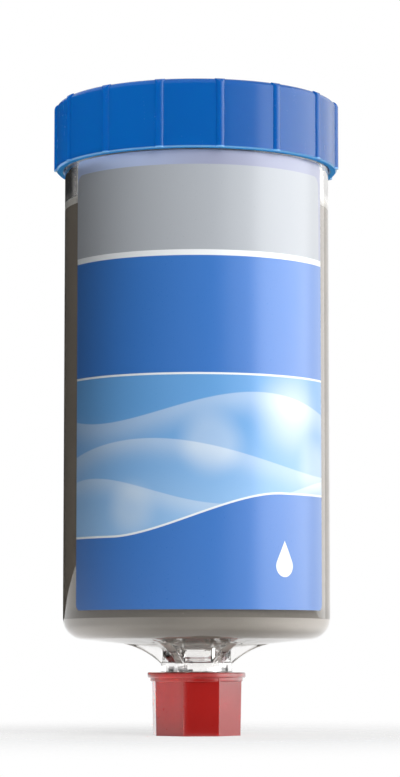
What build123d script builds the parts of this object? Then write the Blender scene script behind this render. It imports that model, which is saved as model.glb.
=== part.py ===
"""Gas-driven automatic lubricator: a clear container of grease that a piston empties through a threaded
outlet. The drive head on top holds a gas cell, its timing board and the thumb dial.

Millimetres, +Z up. The origin is the middle of the outlet cap's flat end, on which the part stands.
The label faces -Y.
"""

import os
from math import radians, tan

from build123d import *

# ---------------------------------------------------------------- driving dimensions
# outlet cap, a screw cap with an octagonal grip and a round flange
cap_height = 11.2
cap_floor = 1.0
cap_across_flats = 15.06
cap_draft_deg = 1.1
cap_flange_radius = 8.8
cap_flange_thickness = 0.95
cap_shoulder_step = 0.5
cap_shoulder_height = 0.7
cap_turn_deg = 3.7
cap_edge = 0.25
liner_thickness = 0.8

# outlet stem: the plain wall is the root of the R 1/4 thread
thread_root_radius = 5.7
thread_room = 0.95
thread_length = 9.5
thread_lead_in = 0.5
collar_step = 0.75
collar_length = 1.7
neck_core_radius = 6.2
neck_height = 4.3
outlet_bore_radius = 3.5
funnel_width = 1.5
funnel_depth = 4.0

# container
body_radius = 24.0
wall = 1.4
floor_thickness = 1.6
floor_slope_deg = 6.0
corner_radius = 3.4
inner_corner_radius = 1.2
container_depth = 93.2
web_count = 6
web_thickness = 1.8
web_width = 6.4
web_curve_radius = 13.3
web_bite_depth = 0.2
bead_height = 0.55
bead_length = 2.0
bead_below_rim = 4.7

# piston and grease
piston_below_rim = 12.8
piston_top_lip = 1.3
piston_low_lip = 0.5
piston_seal_section = 1.6
piston_plate = 1.8
piston_rim_wall = 1.56
piston_clearance = 0.1
piston_rib_count = 8
piston_rib_thickness = 1.2
piston_rib_recess = 0.5
piston_hub_radius = 4.0
grease_gap = 0.05

# top ring, snapped over the container's bead
ring_clearance = 0.7
ring_wall = 0.9
ring_height = 12.2
ring_lip_thickness = 1.8
ring_lip_width = 4.3
ring_rib_count = 15
ring_rib_radius = 0.9
ring_rib_proud = 0.4
ring_rib_turn_deg = 6.7
ring_edge_radius = 0.9
ring_low_edge = 0.3
snap_gap = 0.1
snap_clearance = 0.15

# drive head
head_flange_thickness = 3.5
head_clearance = 0.15
head_spigot_length = 6.0
head_spigot_chamfer = 0.6
head_boss_step = 3.05
head_boss_wall = 2.2
head_seal_section = 1.6
head_seal_below_rim = 3.0
face_depth = 1.9
face_wall = 1.8
face_step = 0.4
ledge_width = 1.0
tick_count = 13
tick_gap = 1.7
tick_length = 1.2
tick_width = 0.4
tick_height = 0.25
scale_start_deg = -60
scale_sweep_deg = 300
board_post_radius = 1.0
board_post_inset = 0.9
board_post_count = 4

# dial
dial_radius = 12.5
dial_thickness = 1.3
dial_gap = 0.05
dial_edge = 0.3
grip_length = 21.0
grip_width = 4.4
grip_waist = 2.6
grip_height = 1.9
grip_edge = 0.5
pointer_length = 3.2
shaft_radius = 2.0
shaft_clearance = 0.05
shaft_groove_radius = 1.6
shaft_tip_radius = 1.2
shaft_tip_length = 0.4
dial_seal_section = 1.1
clip_thickness = 0.3
clip_radius = 3.4
clip_gap = 0.1
wiper_thickness = 0.25
wiper_hub_radius = 2.6
wiper_inset = 3.2
wiper_arm_width = 1.4
wiper_arm_count = 3
wiper_foot_gap = 0.1

# timing board
board_room = 1.3
board_thickness = 1.0
board_clearance = 0.2
resistor_count = 12
resistor_inset = 4.8
resistor_length = 3.2
resistor_width = 1.6
resistor_height = 0.6

# gas cell
cell_radius = 11.5
cell_height = 5.0
cell_wall = 0.4
cell_crimp_width = 1.2
cell_cap_inset = 1.9
cell_cap_rim_inset = 0.9
cell_cap_rise = 0.6
cell_hole_radius = 0.6
cell_hole_count = 3
cell_hole_ring_radius = 4.0
cell_clearance = 0.1
spring_room = 0.8
spring_thickness = 0.25
spring_width = 3.0
spring_belly_length = 3.0
spring_span_length = 9.0
spring_foot_length = 2.0
side_contact_width = 3.0
side_contact_thickness = 0.3
side_contact_end_gap = 0.9
side_contact_length = 4.2
membrane_thickness = 0.3
membrane_inset = 0.2
cover_thickness = 1.4
cover_tube_wall = 1.2
vent_count = 6
vent_radius = 0.9
vent_ring_radius = 6.0

# label
label_thickness = 0.08
label_half_angle_deg = 63.9
label_above_corner = 1.55
label_height = 79.7
label_corner_radius = 1.2

# clearances
seal_gap = 0.02
press_gap = 0.02

# how far a cutting shape runs past what it cuts
cut_margin = 1.0

# ---------------------------------------------------------------- levels and radii worked out
tip_z = cap_floor + liner_thickness
neck_z = tip_z + thread_length
collar_top_z = neck_z + collar_length
floor_low_z = neck_z + neck_height
rim_z = floor_low_z + container_depth

collar_radius = thread_root_radius + collar_step
cap_bore_radius = thread_root_radius + thread_room
funnel_radius = outlet_bore_radius + funnel_width
web_tip_radius = collar_radius + web_width
inner_radius = body_radius - wall
slope = tan(radians(floor_slope_deg))


def outer_floor_z(r):
    """Height of the container floor's underside at radius r."""
    return floor_low_z + slope * (r - collar_radius)


def inner_floor_z(r):
    """Height of the container floor's top side at radius r."""
    return outer_floor_z(r) + floor_thickness


piston_top_z = rim_z - piston_below_rim
piston_groove_top_z = piston_top_z - piston_top_lip
piston_groove_low_z = piston_groove_top_z - piston_seal_section - 2 * seal_gap
piston_low_z = piston_groove_low_z - piston_low_lip
piston_radius = inner_radius - piston_clearance
piston_seal_inner_radius = inner_radius - seal_gap - piston_seal_section
piston_rim_radius = piston_seal_inner_radius - seal_gap - piston_rim_wall


def piston_under_z(r):
    """Height of the piston's underside at radius r; it is parallel to the container's floor."""
    return piston_low_z + slope * (r - piston_radius)


ring_inner_radius = body_radius + ring_clearance
ring_wall_radius = ring_inner_radius + ring_wall
ring_radius = ring_wall_radius + ring_rib_proud
ring_lip_radius = ring_inner_radius - ring_lip_width
head_flange_top_z = rim_z + head_flange_thickness
ring_top_z = head_flange_top_z + ring_lip_thickness
ring_low_z = ring_top_z - ring_height
bead_low_z = rim_z - bead_below_rim
bead_top_z = bead_low_z + bead_length
bead_radius = body_radius + bead_height

face_z = head_flange_top_z - face_depth
face_under_z = face_z - face_wall
board_top_z = face_under_z - board_room
board_low_z = board_top_z - board_thickness
cell_top_z = board_low_z - spring_room
cell_low_z = cell_top_z - cell_height
cell_rim_z = cell_top_z - cell_cap_rise
cover_top_z = cell_low_z - membrane_thickness
cover_low_z = cover_top_z - cover_thickness
spigot_low_z = rim_z - head_spigot_length
spigot_radius = inner_radius - head_clearance
head_flange_radius = ring_inner_radius - head_clearance
head_boss_radius = spigot_radius - head_boss_step
pocket_radius = head_boss_radius - head_boss_wall
ledge_radius = pocket_radius - ledge_width
face_radius = ring_lip_radius - face_step
head_seal_z = rim_z - head_seal_below_rim
head_seal_inner_radius = inner_radius - seal_gap - head_seal_section

dial_low_z = face_z + dial_gap
dial_top_z = dial_low_z + dial_thickness
clip_top_z = face_under_z - clip_gap
clip_low_z = clip_top_z - clip_thickness
shaft_bore_radius = shaft_radius + shaft_clearance
wiper_top_z = board_top_z + (board_room - clip_gap - clip_thickness) * 2 / 3
wiper_low_z = wiper_top_z - wiper_thickness
dial_seal_z = face_z - seal_gap - dial_seal_section / 2
tick_radius = dial_radius + tick_gap
board_radius = pocket_radius - board_clearance
board_post_ring_radius = ledge_radius - board_post_inset
resistor_ring_radius = board_radius - resistor_inset
wiper_radius = resistor_ring_radius - wiper_inset
cell_crimp_radius = cell_radius - cell_crimp_width
cell_cap_radius = cell_radius - cell_cap_inset
cell_cap_rim_radius = cell_radius - cell_cap_rim_inset
cell_seat_radius = cell_radius + cell_clearance
cover_plug_radius = pocket_radius - cell_clearance
side_contact_radius = cell_radius + seal_gap
side_contact_tab_radius = cover_plug_radius - cover_tube_wall - side_contact_end_gap
pointer_deg = scale_start_deg + scale_sweep_deg

label_low_z = outer_floor_z(body_radius) + corner_radius / tan(radians(45 + floor_slope_deg / 2))
label_low_z = label_low_z + label_above_corner

os.makedirs("parts", exist_ok=True)


def o_ring_section(inner, section, z):
    """Draws the round section of a seal whose inner radius is given, centred at height z."""
    with Locations((inner + section / 2, z)):
        Circle(section / 2)


# ---------------------------------------------------------------- container
with BuildPart() as container:
    with BuildSketch(Plane.XZ) as container_section:
        with BuildLine():
            Polyline(
                (outlet_bore_radius, tip_z),
                (thread_root_radius - thread_lead_in, tip_z),
                (thread_root_radius, tip_z + thread_lead_in),
                (thread_root_radius, neck_z),
                (collar_radius, neck_z),
                (collar_radius, collar_top_z),
                (neck_core_radius, collar_top_z),
                (neck_core_radius, outer_floor_z(neck_core_radius)),
                (body_radius, outer_floor_z(body_radius)),
                (body_radius, bead_low_z),
                (bead_radius, bead_low_z),
                (bead_radius, bead_top_z - bead_height),
                (body_radius, bead_top_z),
                (body_radius, rim_z),
                (inner_radius, rim_z),
                (inner_radius, inner_floor_z(inner_radius)),
                (funnel_radius, inner_floor_z(funnel_radius)),
                (outlet_bore_radius, inner_floor_z(funnel_radius) - funnel_depth),
                close=True,
            )
        make_face()
        corner = (body_radius, outer_floor_z(body_radius))
        fillet(container_section.vertices().sort_by_distance(corner)[0], corner_radius)
        inner_corner = (inner_radius, inner_floor_z(inner_radius))
        fillet(container_section.vertices().sort_by_distance(inner_corner)[0], inner_corner_radius)
    revolve(axis=Axis.Z)

    # thin webs brace the neck; each has a hollow curved edge from the floor down to the collar
    web_foot = (collar_radius - web_bite_depth, collar_top_z - web_bite_depth)
    web_tip = (web_tip_radius, outer_floor_z(web_tip_radius) + web_bite_depth)
    web_root_radius = (funnel_radius + neck_core_radius) / 2
    web_top_z = outer_floor_z(web_root_radius) + floor_thickness / 4
    for turn in range(web_count):
        with BuildSketch(Plane.XZ.rotated((0, 0, turn * 360 / web_count))):
            with BuildLine():
                RadiusArc(web_tip, web_foot, -web_curve_radius)
                Polyline(
                    web_foot,
                    (web_root_radius, collar_top_z - web_bite_depth),
                    (web_root_radius, web_top_z),
                    (web_tip_radius, outer_floor_z(web_tip_radius) + floor_thickness / 2),
                    web_tip,
                )
            make_face()
        extrude(amount=web_thickness / 2, both=True)
container.part.label = "container"
export_step(container.part, "parts/container.step")

# ---------------------------------------------------------------- piston
with BuildPart() as piston:
    with BuildSketch(Plane.XZ):
        with BuildLine():
            Polyline(
                (0, piston_under_z(0)),
                (piston_radius, piston_low_z),
                (piston_radius, piston_groove_low_z),
                (piston_seal_inner_radius - seal_gap, piston_groove_low_z),
                (piston_seal_inner_radius - seal_gap, piston_groove_top_z),
                (piston_radius, piston_groove_top_z),
                (piston_radius, piston_top_z),
                (piston_rim_radius, piston_top_z),
                (piston_rim_radius, piston_under_z(piston_rim_radius) + piston_plate),
                (piston_hub_radius, piston_under_z(piston_hub_radius) + piston_plate),
                (piston_hub_radius, piston_top_z - piston_rib_recess),
                (0, piston_top_z - piston_rib_recess),
                close=True,
            )
        make_face()
    revolve(axis=Axis.Z)

    piston_rib_low_z = piston_under_z(piston_rim_radius) + seal_gap
    piston_rib_length = piston_rim_radius - piston_hub_radius + cut_margin
    with BuildSketch(Plane.XY.offset(piston_rib_low_z)):
        with PolarLocations((piston_rim_radius + piston_hub_radius) / 2, piston_rib_count):
            Rectangle(piston_rib_length, piston_rib_thickness)
    extrude(amount=piston_top_z - piston_rib_recess - piston_rib_low_z)
piston.part.label = "piston"
export_step(piston.part, "parts/piston.step")

with BuildPart() as piston_seal:
    with BuildSketch(Plane.XZ):
        seal_z = (piston_groove_low_z + piston_groove_top_z) / 2
        o_ring_section(piston_seal_inner_radius, piston_seal_section, seal_z)
    revolve(axis=Axis.Z)
piston_seal.part.label = "piston_seal"
export_step(piston_seal.part, "parts/piston_seal.step")

# ---------------------------------------------------------------- grease
grease_radius = inner_radius - grease_gap
with BuildPart() as grease:
    with BuildSketch(Plane.XZ) as grease_section:
        with BuildLine():
            Polyline(
                (0, inner_floor_z(0) + grease_gap),
                (grease_radius, inner_floor_z(grease_radius) + grease_gap),
                (grease_radius, piston_under_z(grease_radius) - grease_gap),
                (0, piston_under_z(0) - grease_gap),
                close=True,
            )
        make_face()
        grease_corner = (grease_radius, inner_floor_z(grease_radius) + grease_gap)
        fillet(grease_section.vertices().sort_by_distance(grease_corner)[0], inner_corner_radius)
    revolve(axis=Axis.Z)
grease.part.label = "grease"
export_step(grease.part, "parts/grease.step")

# ---------------------------------------------------------------- label
with BuildPart() as label:
    with BuildSketch(Plane.XZ.rotated((0, 0, -90 - label_half_angle_deg))):
        with Locations((body_radius + press_gap, label_low_z)):
            Rectangle(label_thickness, label_height, align=(Align.MIN, Align.MIN))
    revolve(axis=Axis.Z, revolution_arc=2 * label_half_angle_deg)
    fillet(label.edges().group_by(SortBy.LENGTH)[0], label_corner_radius)
label.part.label = "label"
export_step(label.part, "parts/label.step")

# ---------------------------------------------------------------- top ring
with BuildPart() as top_ring:
    with BuildSketch(Plane.XZ) as ring_section:
        snap_top_z = bead_low_z - snap_gap
        snap_radius = body_radius + snap_clearance
        with BuildLine():
            Polyline(
                (snap_radius, ring_low_z + ring_low_edge),
                (snap_radius + ring_low_edge, ring_low_z),
                (ring_wall_radius - ring_low_edge, ring_low_z),
                (ring_wall_radius, ring_low_z + ring_low_edge),
                (ring_wall_radius, ring_top_z),
                (ring_lip_radius, ring_top_z),
                (ring_lip_radius, head_flange_top_z),
                (ring_inner_radius, head_flange_top_z),
                (ring_inner_radius, snap_top_z),
                (snap_radius, snap_top_z),
                close=True,
            )
        make_face()
        outer_edge = (ring_wall_radius, ring_top_z)
        fillet(ring_section.vertices().sort_by_distance(outer_edge)[0], ring_edge_radius)
        inner_edge = (ring_lip_radius, ring_top_z)
        fillet(ring_section.vertices().sort_by_distance(inner_edge)[0], ring_edge_radius / 2)
    revolve(axis=Axis.Z)

    # rounded grip ribs, each turned over the top edge
    rib_centre_radius = ring_radius - ring_rib_radius
    with BuildSketch(Plane.XY.offset(ring_low_z)):
        with PolarLocations(rib_centre_radius, ring_rib_count, start_angle=-90 + ring_rib_turn_deg):
            Circle(ring_rib_radius)
        Circle(rib_centre_radius, mode=Mode.SUBTRACT)
    extrude(amount=ring_height)
    with BuildSketch(Plane.XZ):
        with BuildLine():
            RadiusArc(
                (ring_radius, ring_top_z - ring_edge_radius),
                (ring_radius - ring_edge_radius, ring_top_z),
                -ring_edge_radius,
            )
            Polyline(
                (ring_radius - ring_edge_radius, ring_top_z),
                (ring_radius + cut_margin, ring_top_z),
                (ring_radius + cut_margin, ring_top_z - ring_edge_radius),
                (ring_radius, ring_top_z - ring_edge_radius),
            )
        make_face()
    revolve(axis=Axis.Z, mode=Mode.SUBTRACT)
top_ring.part.label = "top_ring"
export_step(top_ring.part, "parts/top_ring.step")

# ---------------------------------------------------------------- drive head
groove_half = head_seal_section / 2 + seal_gap
groove_radius = head_seal_inner_radius - seal_gap
dial_seal_pocket_radius = shaft_radius + dial_seal_section + 2 * seal_gap
with BuildPart() as drive_head:
    with BuildSketch(Plane.XZ):
        with BuildLine():
            Polyline(
                (shaft_bore_radius, face_under_z),
                (ledge_radius, face_under_z),
                (ledge_radius, board_top_z),
                (pocket_radius, board_top_z),
                (pocket_radius, cover_top_z),
                (head_boss_radius, cover_top_z),
                (head_boss_radius, spigot_low_z),
                (spigot_radius - head_spigot_chamfer, spigot_low_z),
                (spigot_radius, spigot_low_z + head_spigot_chamfer),
                (spigot_radius, head_seal_z - groove_half),
                (groove_radius, head_seal_z - groove_half),
                (groove_radius, head_seal_z + groove_half),
                (spigot_radius, head_seal_z + groove_half),
                (spigot_radius, rim_z),
                (head_flange_radius, rim_z),
                (head_flange_radius, head_flange_top_z),
                (face_radius, head_flange_top_z),
                (face_radius, face_z),
                (dial_seal_pocket_radius, face_z),
                (dial_seal_pocket_radius, dial_seal_z - dial_seal_section / 2 - seal_gap),
                (shaft_bore_radius, dial_seal_z - dial_seal_section / 2 - seal_gap),
                close=True,
            )
        make_face()
    revolve(axis=Axis.Z)

    # posts that locate the timing board
    with BuildSketch(Plane.XY.offset(face_under_z)):
        with PolarLocations(board_post_ring_radius, board_post_count, start_angle=45):
            Circle(board_post_radius)
    extrude(amount=board_low_z + board_thickness / 4 - face_under_z)

    # raised marks of the time scale
    with BuildSketch(Plane.XY.offset(face_z)):
        with PolarLocations(
            tick_radius + tick_length / 2,
            tick_count,
            start_angle=scale_start_deg,
            angular_range=scale_sweep_deg,
            endpoint=True,
        ):
            Rectangle(tick_length, tick_width)
    extrude(amount=tick_height)
drive_head.part.label = "drive_head"
export_step(drive_head.part, "parts/drive_head.step")

with BuildPart() as head_seal:
    with BuildSketch(Plane.XZ):
        o_ring_section(head_seal_inner_radius, head_seal_section, head_seal_z)
    revolve(axis=Axis.Z)
head_seal.part.label = "head_seal"
export_step(head_seal.part, "parts/head_seal.step")

# ---------------------------------------------------------------- dial
with BuildPart() as dial:
    with BuildSketch(Plane.XZ) as dial_section:
        with BuildLine():
            Polyline(
                (0, wiper_top_z - shaft_tip_length),
                (shaft_tip_radius, wiper_top_z - shaft_tip_length),
                (shaft_tip_radius, wiper_top_z),
                (shaft_radius, wiper_top_z),
                (shaft_radius, clip_low_z - press_gap),
                (shaft_groove_radius, clip_low_z - press_gap),
                (shaft_groove_radius, clip_top_z + press_gap),
                (shaft_radius, clip_top_z + press_gap),
                (shaft_radius, dial_low_z),
                (dial_radius, dial_low_z),
                (dial_radius, dial_top_z),
                (0, dial_top_z),
                close=True,
            )
        make_face()
        dial_rim = (dial_radius, dial_top_z)
        chamfer(dial_section.vertices().sort_by_distance(dial_rim)[0], dial_edge)
    revolve(axis=Axis.Z)

    # thumb grip, waisted in the middle and pointed at the end that reads the scale
    with BuildSketch(Plane.XY.offset(dial_top_z).rotated((0, 0, pointer_deg))):
        with BuildLine():
            ThreePointArc(
                (-grip_length / 2, grip_width / 2),
                (-pointer_length / 2, grip_waist / 2),
                (grip_length / 2 - pointer_length, grip_width / 2),
            )
            Polyline(
                (grip_length / 2 - pointer_length, grip_width / 2),
                (grip_length / 2, 0),
                (grip_length / 2 - pointer_length, -grip_width / 2),
            )
            ThreePointArc(
                (grip_length / 2 - pointer_length, -grip_width / 2),
                (-pointer_length / 2, -grip_waist / 2),
                (-grip_length / 2, -grip_width / 2),
            )
            Line((-grip_length / 2, -grip_width / 2), (-grip_length / 2, grip_width / 2))
        make_face()
    extrude(amount=grip_height)
    fillet(dial.faces().sort_by(Axis.Z)[-1].edges(), grip_edge)
dial.part.label = "dial"
export_step(dial.part, "parts/dial.step")

with BuildPart() as dial_seal:
    with BuildSketch(Plane.XZ):
        o_ring_section(shaft_radius + seal_gap, dial_seal_section, dial_seal_z)
    revolve(axis=Axis.Z)
dial_seal.part.label = "dial_seal"
export_step(dial_seal.part, "parts/dial_seal.step")

# clip that holds the dial's shaft; it is pushed on from the side
with BuildPart() as dial_clip:
    with BuildSketch(Plane.XY.offset(clip_low_z)):
        Circle(clip_radius)
        Circle(shaft_groove_radius + press_gap, mode=Mode.SUBTRACT)
        Rectangle(
            clip_radius + cut_margin,
            2 * shaft_groove_radius - clip_thickness,
            align=(Align.MIN, Align.CENTER),
            mode=Mode.SUBTRACT,
        )
    extrude(amount=clip_thickness)
dial_clip.part.label = "dial_clip"
export_step(dial_clip.part, "parts/dial_clip.step")

with BuildPart() as wiper:
    with BuildSketch(Plane.XY.offset(wiper_low_z)):
        Circle(wiper_hub_radius)
        with PolarLocations(wiper_radius / 2, wiper_arm_count, start_angle=pointer_deg):
            Rectangle(wiper_radius, wiper_arm_width)
        Circle(shaft_tip_radius + press_gap, mode=Mode.SUBTRACT)
    extrude(amount=wiper_thickness)
    with BuildSketch(Plane.XY.offset(board_top_z + wiper_foot_gap)):
        with PolarLocations(wiper_radius - wiper_arm_width / 2, wiper_arm_count, start_angle=pointer_deg):
            Rectangle(wiper_arm_width, wiper_arm_width)
    extrude(amount=wiper_low_z - board_top_z - wiper_foot_gap)
wiper.part.label = "wiper"
export_step(wiper.part, "parts/wiper.step")

# ---------------------------------------------------------------- timing board
with BuildPart() as timing_board:
    with BuildSketch(Plane.XY.offset(board_low_z)):
        Circle(board_radius)
        with PolarLocations(board_post_ring_radius, board_post_count, start_angle=45):
            Circle(board_post_radius + cell_clearance, mode=Mode.SUBTRACT)
    extrude(amount=board_thickness)
timing_board.part.label = "timing_board"
export_step(timing_board.part, "parts/timing_board.step")

with BuildPart() as timing_resistors:
    with BuildSketch(Plane.XY.offset(board_top_z)):
        with PolarLocations(resistor_ring_radius, resistor_count):
            Rectangle(resistor_width, resistor_length)
    extrude(amount=resistor_height)
timing_resistors.part.label = "timing_resistors"
export_step(timing_resistors.part, "parts/timing_resistors.step")

# bowed spring between the board and the top of the cell
with BuildPart() as contact_spring:
    with BuildSketch(Plane.XZ):
        with BuildLine():
            Polyline(
                (-spring_span_length / 2 - spring_foot_length, board_low_z),
                (-spring_span_length / 2, board_low_z),
                (-spring_belly_length / 2, cell_top_z + spring_thickness),
                (spring_belly_length / 2, cell_top_z + spring_thickness),
                (spring_span_length / 2, board_low_z),
                (spring_span_length / 2 + spring_foot_length, board_low_z),
                (spring_span_length / 2 + spring_foot_length, board_low_z - spring_thickness),
                (spring_span_length / 2, board_low_z - spring_thickness),
                (spring_belly_length / 2, cell_top_z),
                (-spring_belly_length / 2, cell_top_z),
                (-spring_span_length / 2, board_low_z - spring_thickness),
                (-spring_span_length / 2 - spring_foot_length, board_low_z - spring_thickness),
                close=True,
            )
        make_face()
    extrude(amount=spring_width / 2, both=True)
contact_spring.part.label = "contact_spring"
export_step(contact_spring.part, "parts/contact_spring.step")

# strip that runs from the board down the side of the cell
with BuildPart() as side_contact:
    with BuildSketch(Plane.XZ):
        with BuildLine():
            Polyline(
                (side_contact_radius, board_low_z),
                (side_contact_tab_radius, board_low_z),
                (side_contact_tab_radius, board_low_z - side_contact_thickness),
                (side_contact_radius + side_contact_thickness, board_low_z - side_contact_thickness),
                (side_contact_radius + side_contact_thickness, board_low_z - side_contact_length),
                (side_contact_radius, board_low_z - side_contact_length),
                close=True,
            )
        make_face()
    extrude(amount=side_contact_width / 2, both=True)
side_contact.part.label = "side_contact"
export_step(side_contact.part, "parts/side_contact.step")

# ---------------------------------------------------------------- gas cell
cell_inner_radius = cell_radius - cell_wall
with BuildPart() as cell_can:
    with BuildSketch(Plane.XZ):
        with BuildLine():
            Polyline(
                (0, cell_low_z),
                (cell_radius, cell_low_z),
                (cell_radius, cell_rim_z),
                (cell_crimp_radius, cell_rim_z),
                (cell_crimp_radius, cell_rim_z - cell_wall),
                (cell_inner_radius, cell_rim_z - cell_wall),
                (cell_inner_radius, cell_low_z + cell_wall),
                (0, cell_low_z + cell_wall),
                close=True,
            )
        make_face()
    revolve(axis=Axis.Z)
    with BuildSketch(Plane.XY.offset(cell_low_z)):
        with PolarLocations(cell_hole_ring_radius, cell_hole_count):
            Circle(cell_hole_radius)
    extrude(amount=cell_wall, mode=Mode.SUBTRACT)
cell_can.part.label = "cell_can"
export_step(cell_can.part, "parts/cell_can.step")

cell_cap_low_z = cell_rim_z - 3 * cell_wall
with BuildPart() as cell_cap:
    with BuildSketch(Plane.XZ):
        with BuildLine():
            Polyline(
                (0, cell_top_z),
                (cell_cap_radius, cell_top_z),
                (cell_cap_radius, cell_cap_low_z + cell_wall),
                (cell_cap_rim_radius, cell_cap_low_z + cell_wall),
                (cell_cap_rim_radius, cell_cap_low_z),
                (cell_cap_radius - cell_wall, cell_cap_low_z),
                (cell_cap_radius - cell_wall, cell_top_z - cell_wall),
                (0, cell_top_z - cell_wall),
                close=True,
            )
        make_face()
    revolve(axis=Axis.Z)
cell_cap.part.label = "cell_cap"
export_step(cell_cap.part, "parts/cell_cap.step")

# insulating seal, folded round the rim of the cell's cap
gasket_top_z = cell_rim_z - cell_wall - seal_gap
gasket_low_z = cell_cap_low_z - cell_wall
with BuildPart() as cell_gasket:
    with BuildSketch(Plane.XZ):
        with BuildLine():
            Polyline(
                (cell_cap_radius + seal_gap, gasket_top_z),
                (cell_inner_radius - seal_gap, gasket_top_z),
                (cell_inner_radius - seal_gap, gasket_low_z),
                (cell_cap_radius, gasket_low_z),
                (cell_cap_radius, cell_cap_low_z - seal_gap),
                (cell_cap_rim_radius + seal_gap, cell_cap_low_z - seal_gap),
                (cell_cap_rim_radius + seal_gap, cell_cap_low_z + cell_wall + seal_gap),
                (cell_cap_radius + seal_gap, cell_cap_low_z + cell_wall + seal_gap),
                close=True,
            )
        make_face()
    revolve(axis=Axis.Z)
cell_gasket.part.label = "cell_gasket"
export_step(cell_gasket.part, "parts/cell_gasket.step")

with BuildPart() as cell_core:
    with BuildSketch(Plane.XY.offset(cell_low_z + cell_wall)):
        Circle(cell_inner_radius - cell_clearance)
    extrude(amount=gasket_low_z - seal_gap - cell_low_z - cell_wall)
cell_core.part.label = "cell_core"
export_step(cell_core.part, "parts/cell_core.step")

with BuildPart() as gas_membrane:
    with BuildSketch(Plane.XY.offset(cover_top_z)):
        Circle(cell_radius - membrane_inset)
    extrude(amount=membrane_thickness)
gas_membrane.part.label = "gas_membrane"
export_step(gas_membrane.part, "parts/gas_membrane.step")

# cover that closes the head from below; its tubes hold the cell and press the board home
with BuildPart() as cell_cover:
    with BuildSketch(Plane.XY.offset(cover_low_z)):
        Circle(head_boss_radius)
        with PolarLocations(vent_ring_radius, vent_count):
            Circle(vent_radius, mode=Mode.SUBTRACT)
    extrude(amount=cover_thickness)
    with BuildSketch(Plane.XY.offset(cover_top_z)):
        Circle(cover_plug_radius)
        Circle(cover_plug_radius - cover_tube_wall, mode=Mode.SUBTRACT)
    extrude(amount=board_low_z - cover_top_z)
    with BuildSketch(Plane.XY.offset(cover_top_z)):
        Circle(cell_seat_radius + cover_tube_wall)
        Circle(cell_seat_radius, mode=Mode.SUBTRACT)
        with Locations((cell_seat_radius, 0)):
            Rectangle(2 * cover_tube_wall, side_contact_width + 4 * cell_clearance, mode=Mode.SUBTRACT)
    extrude(amount=cell_rim_z - cover_top_z)
cell_cover.part.label = "cell_cover"
export_step(cell_cover.part, "parts/cell_cover.step")

# ---------------------------------------------------------------- outlet cap
with BuildPart() as outlet_cap:
    cap_octagon_turn = -90 + cap_turn_deg + 180 / 8
    cap_flange_low_z = cap_height - cap_flange_thickness
    cap_shoulder_radius = cap_flange_radius - cap_shoulder_step
    with BuildSketch():
        RegularPolygon(cap_across_flats / 2, 8, major_radius=False, rotation=cap_octagon_turn)
    extrude(amount=cap_flange_low_z, taper=-cap_draft_deg)
    with BuildSketch(Plane.XZ) as flange_section:
        with BuildLine():
            Polyline(
                (0, cap_flange_low_z - cap_shoulder_height),
                (cap_shoulder_radius, cap_flange_low_z - cap_shoulder_height),
                (cap_shoulder_radius, cap_flange_low_z),
                (cap_flange_radius, cap_flange_low_z),
                (cap_flange_radius, cap_height),
                (0, cap_height),
                close=True,
            )
        make_face()
        flange_edges = [
            (cap_flange_radius, cap_height),
            (cap_flange_radius, cap_flange_low_z),
            (cap_shoulder_radius, cap_flange_low_z - cap_shoulder_height),
        ]
        for flange_edge in flange_edges:
            fillet(flange_section.vertices().sort_by_distance(flange_edge)[0], cap_edge)
    revolve(axis=Axis.Z)
    with BuildSketch(Plane.XY.offset(cap_floor)):
        Circle(cap_bore_radius)
    extrude(amount=cap_height, mode=Mode.SUBTRACT)
outlet_cap.part.label = "outlet_cap"
export_step(outlet_cap.part, "parts/outlet_cap.step")

with BuildPart() as cap_liner:
    with BuildSketch(Plane.XY.offset(cap_floor)):
        Circle(cap_bore_radius - grease_gap)
    extrude(amount=liner_thickness)
cap_liner.part.label = "cap_liner"
export_step(cap_liner.part, "parts/cap_liner.step")
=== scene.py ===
from math import cos, pi, radians, sin

import bmesh
import bpy
from mathutils import Matrix, Vector


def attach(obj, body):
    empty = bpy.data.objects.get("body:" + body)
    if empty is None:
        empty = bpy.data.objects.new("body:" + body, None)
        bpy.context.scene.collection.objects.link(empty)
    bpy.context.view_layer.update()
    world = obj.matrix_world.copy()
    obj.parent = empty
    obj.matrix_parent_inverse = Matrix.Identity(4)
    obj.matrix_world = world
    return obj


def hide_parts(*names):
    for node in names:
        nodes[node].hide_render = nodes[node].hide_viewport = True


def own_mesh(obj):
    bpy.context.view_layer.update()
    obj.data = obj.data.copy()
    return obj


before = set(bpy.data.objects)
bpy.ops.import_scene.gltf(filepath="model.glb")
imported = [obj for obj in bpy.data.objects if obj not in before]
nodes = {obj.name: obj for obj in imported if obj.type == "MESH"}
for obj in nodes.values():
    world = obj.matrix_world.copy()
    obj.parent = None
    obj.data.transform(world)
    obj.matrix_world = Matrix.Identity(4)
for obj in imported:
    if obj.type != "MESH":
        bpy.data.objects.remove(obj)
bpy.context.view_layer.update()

# Sizes of the lubricator in metres; heights are over the cap's flat end
OUTLET_RADIUS = 0.0035
TIP_HEIGHT = 0.0018
LEAD_IN = 0.0005
STEM_RADIUS = 0.0057
COLLAR_RADIUS = 0.00645
COLLAR_LOW = 0.0113
COLLAR_TOP = 0.013
NECK_RADIUS = 0.0062
FLOOR_AT_NECK = 0.015574  # the sloping floor's underside, here and at the heel
FLOOR_AT_HEEL = 0.017387
FUNNEL_RADIUS = 0.005
FUNNEL_TOP = 0.017047
FUNNEL_DEPTH = 0.004
HEEL_RADIUS = 0.02345
HEEL_TOP = 0.0209
INNER_HEEL = 0.018897  # where the floor's upper face meets the bore
INNER_HEEL_ROUND = 0.00108
WALL_RADIUS = 0.024
BORE_RADIUS = 0.0226
RIM_HEIGHT = 0.1088
BEAD_LOW = 0.1041
BEAD_TOP = 0.1061
BEAD_PROUD = 0.00055

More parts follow.
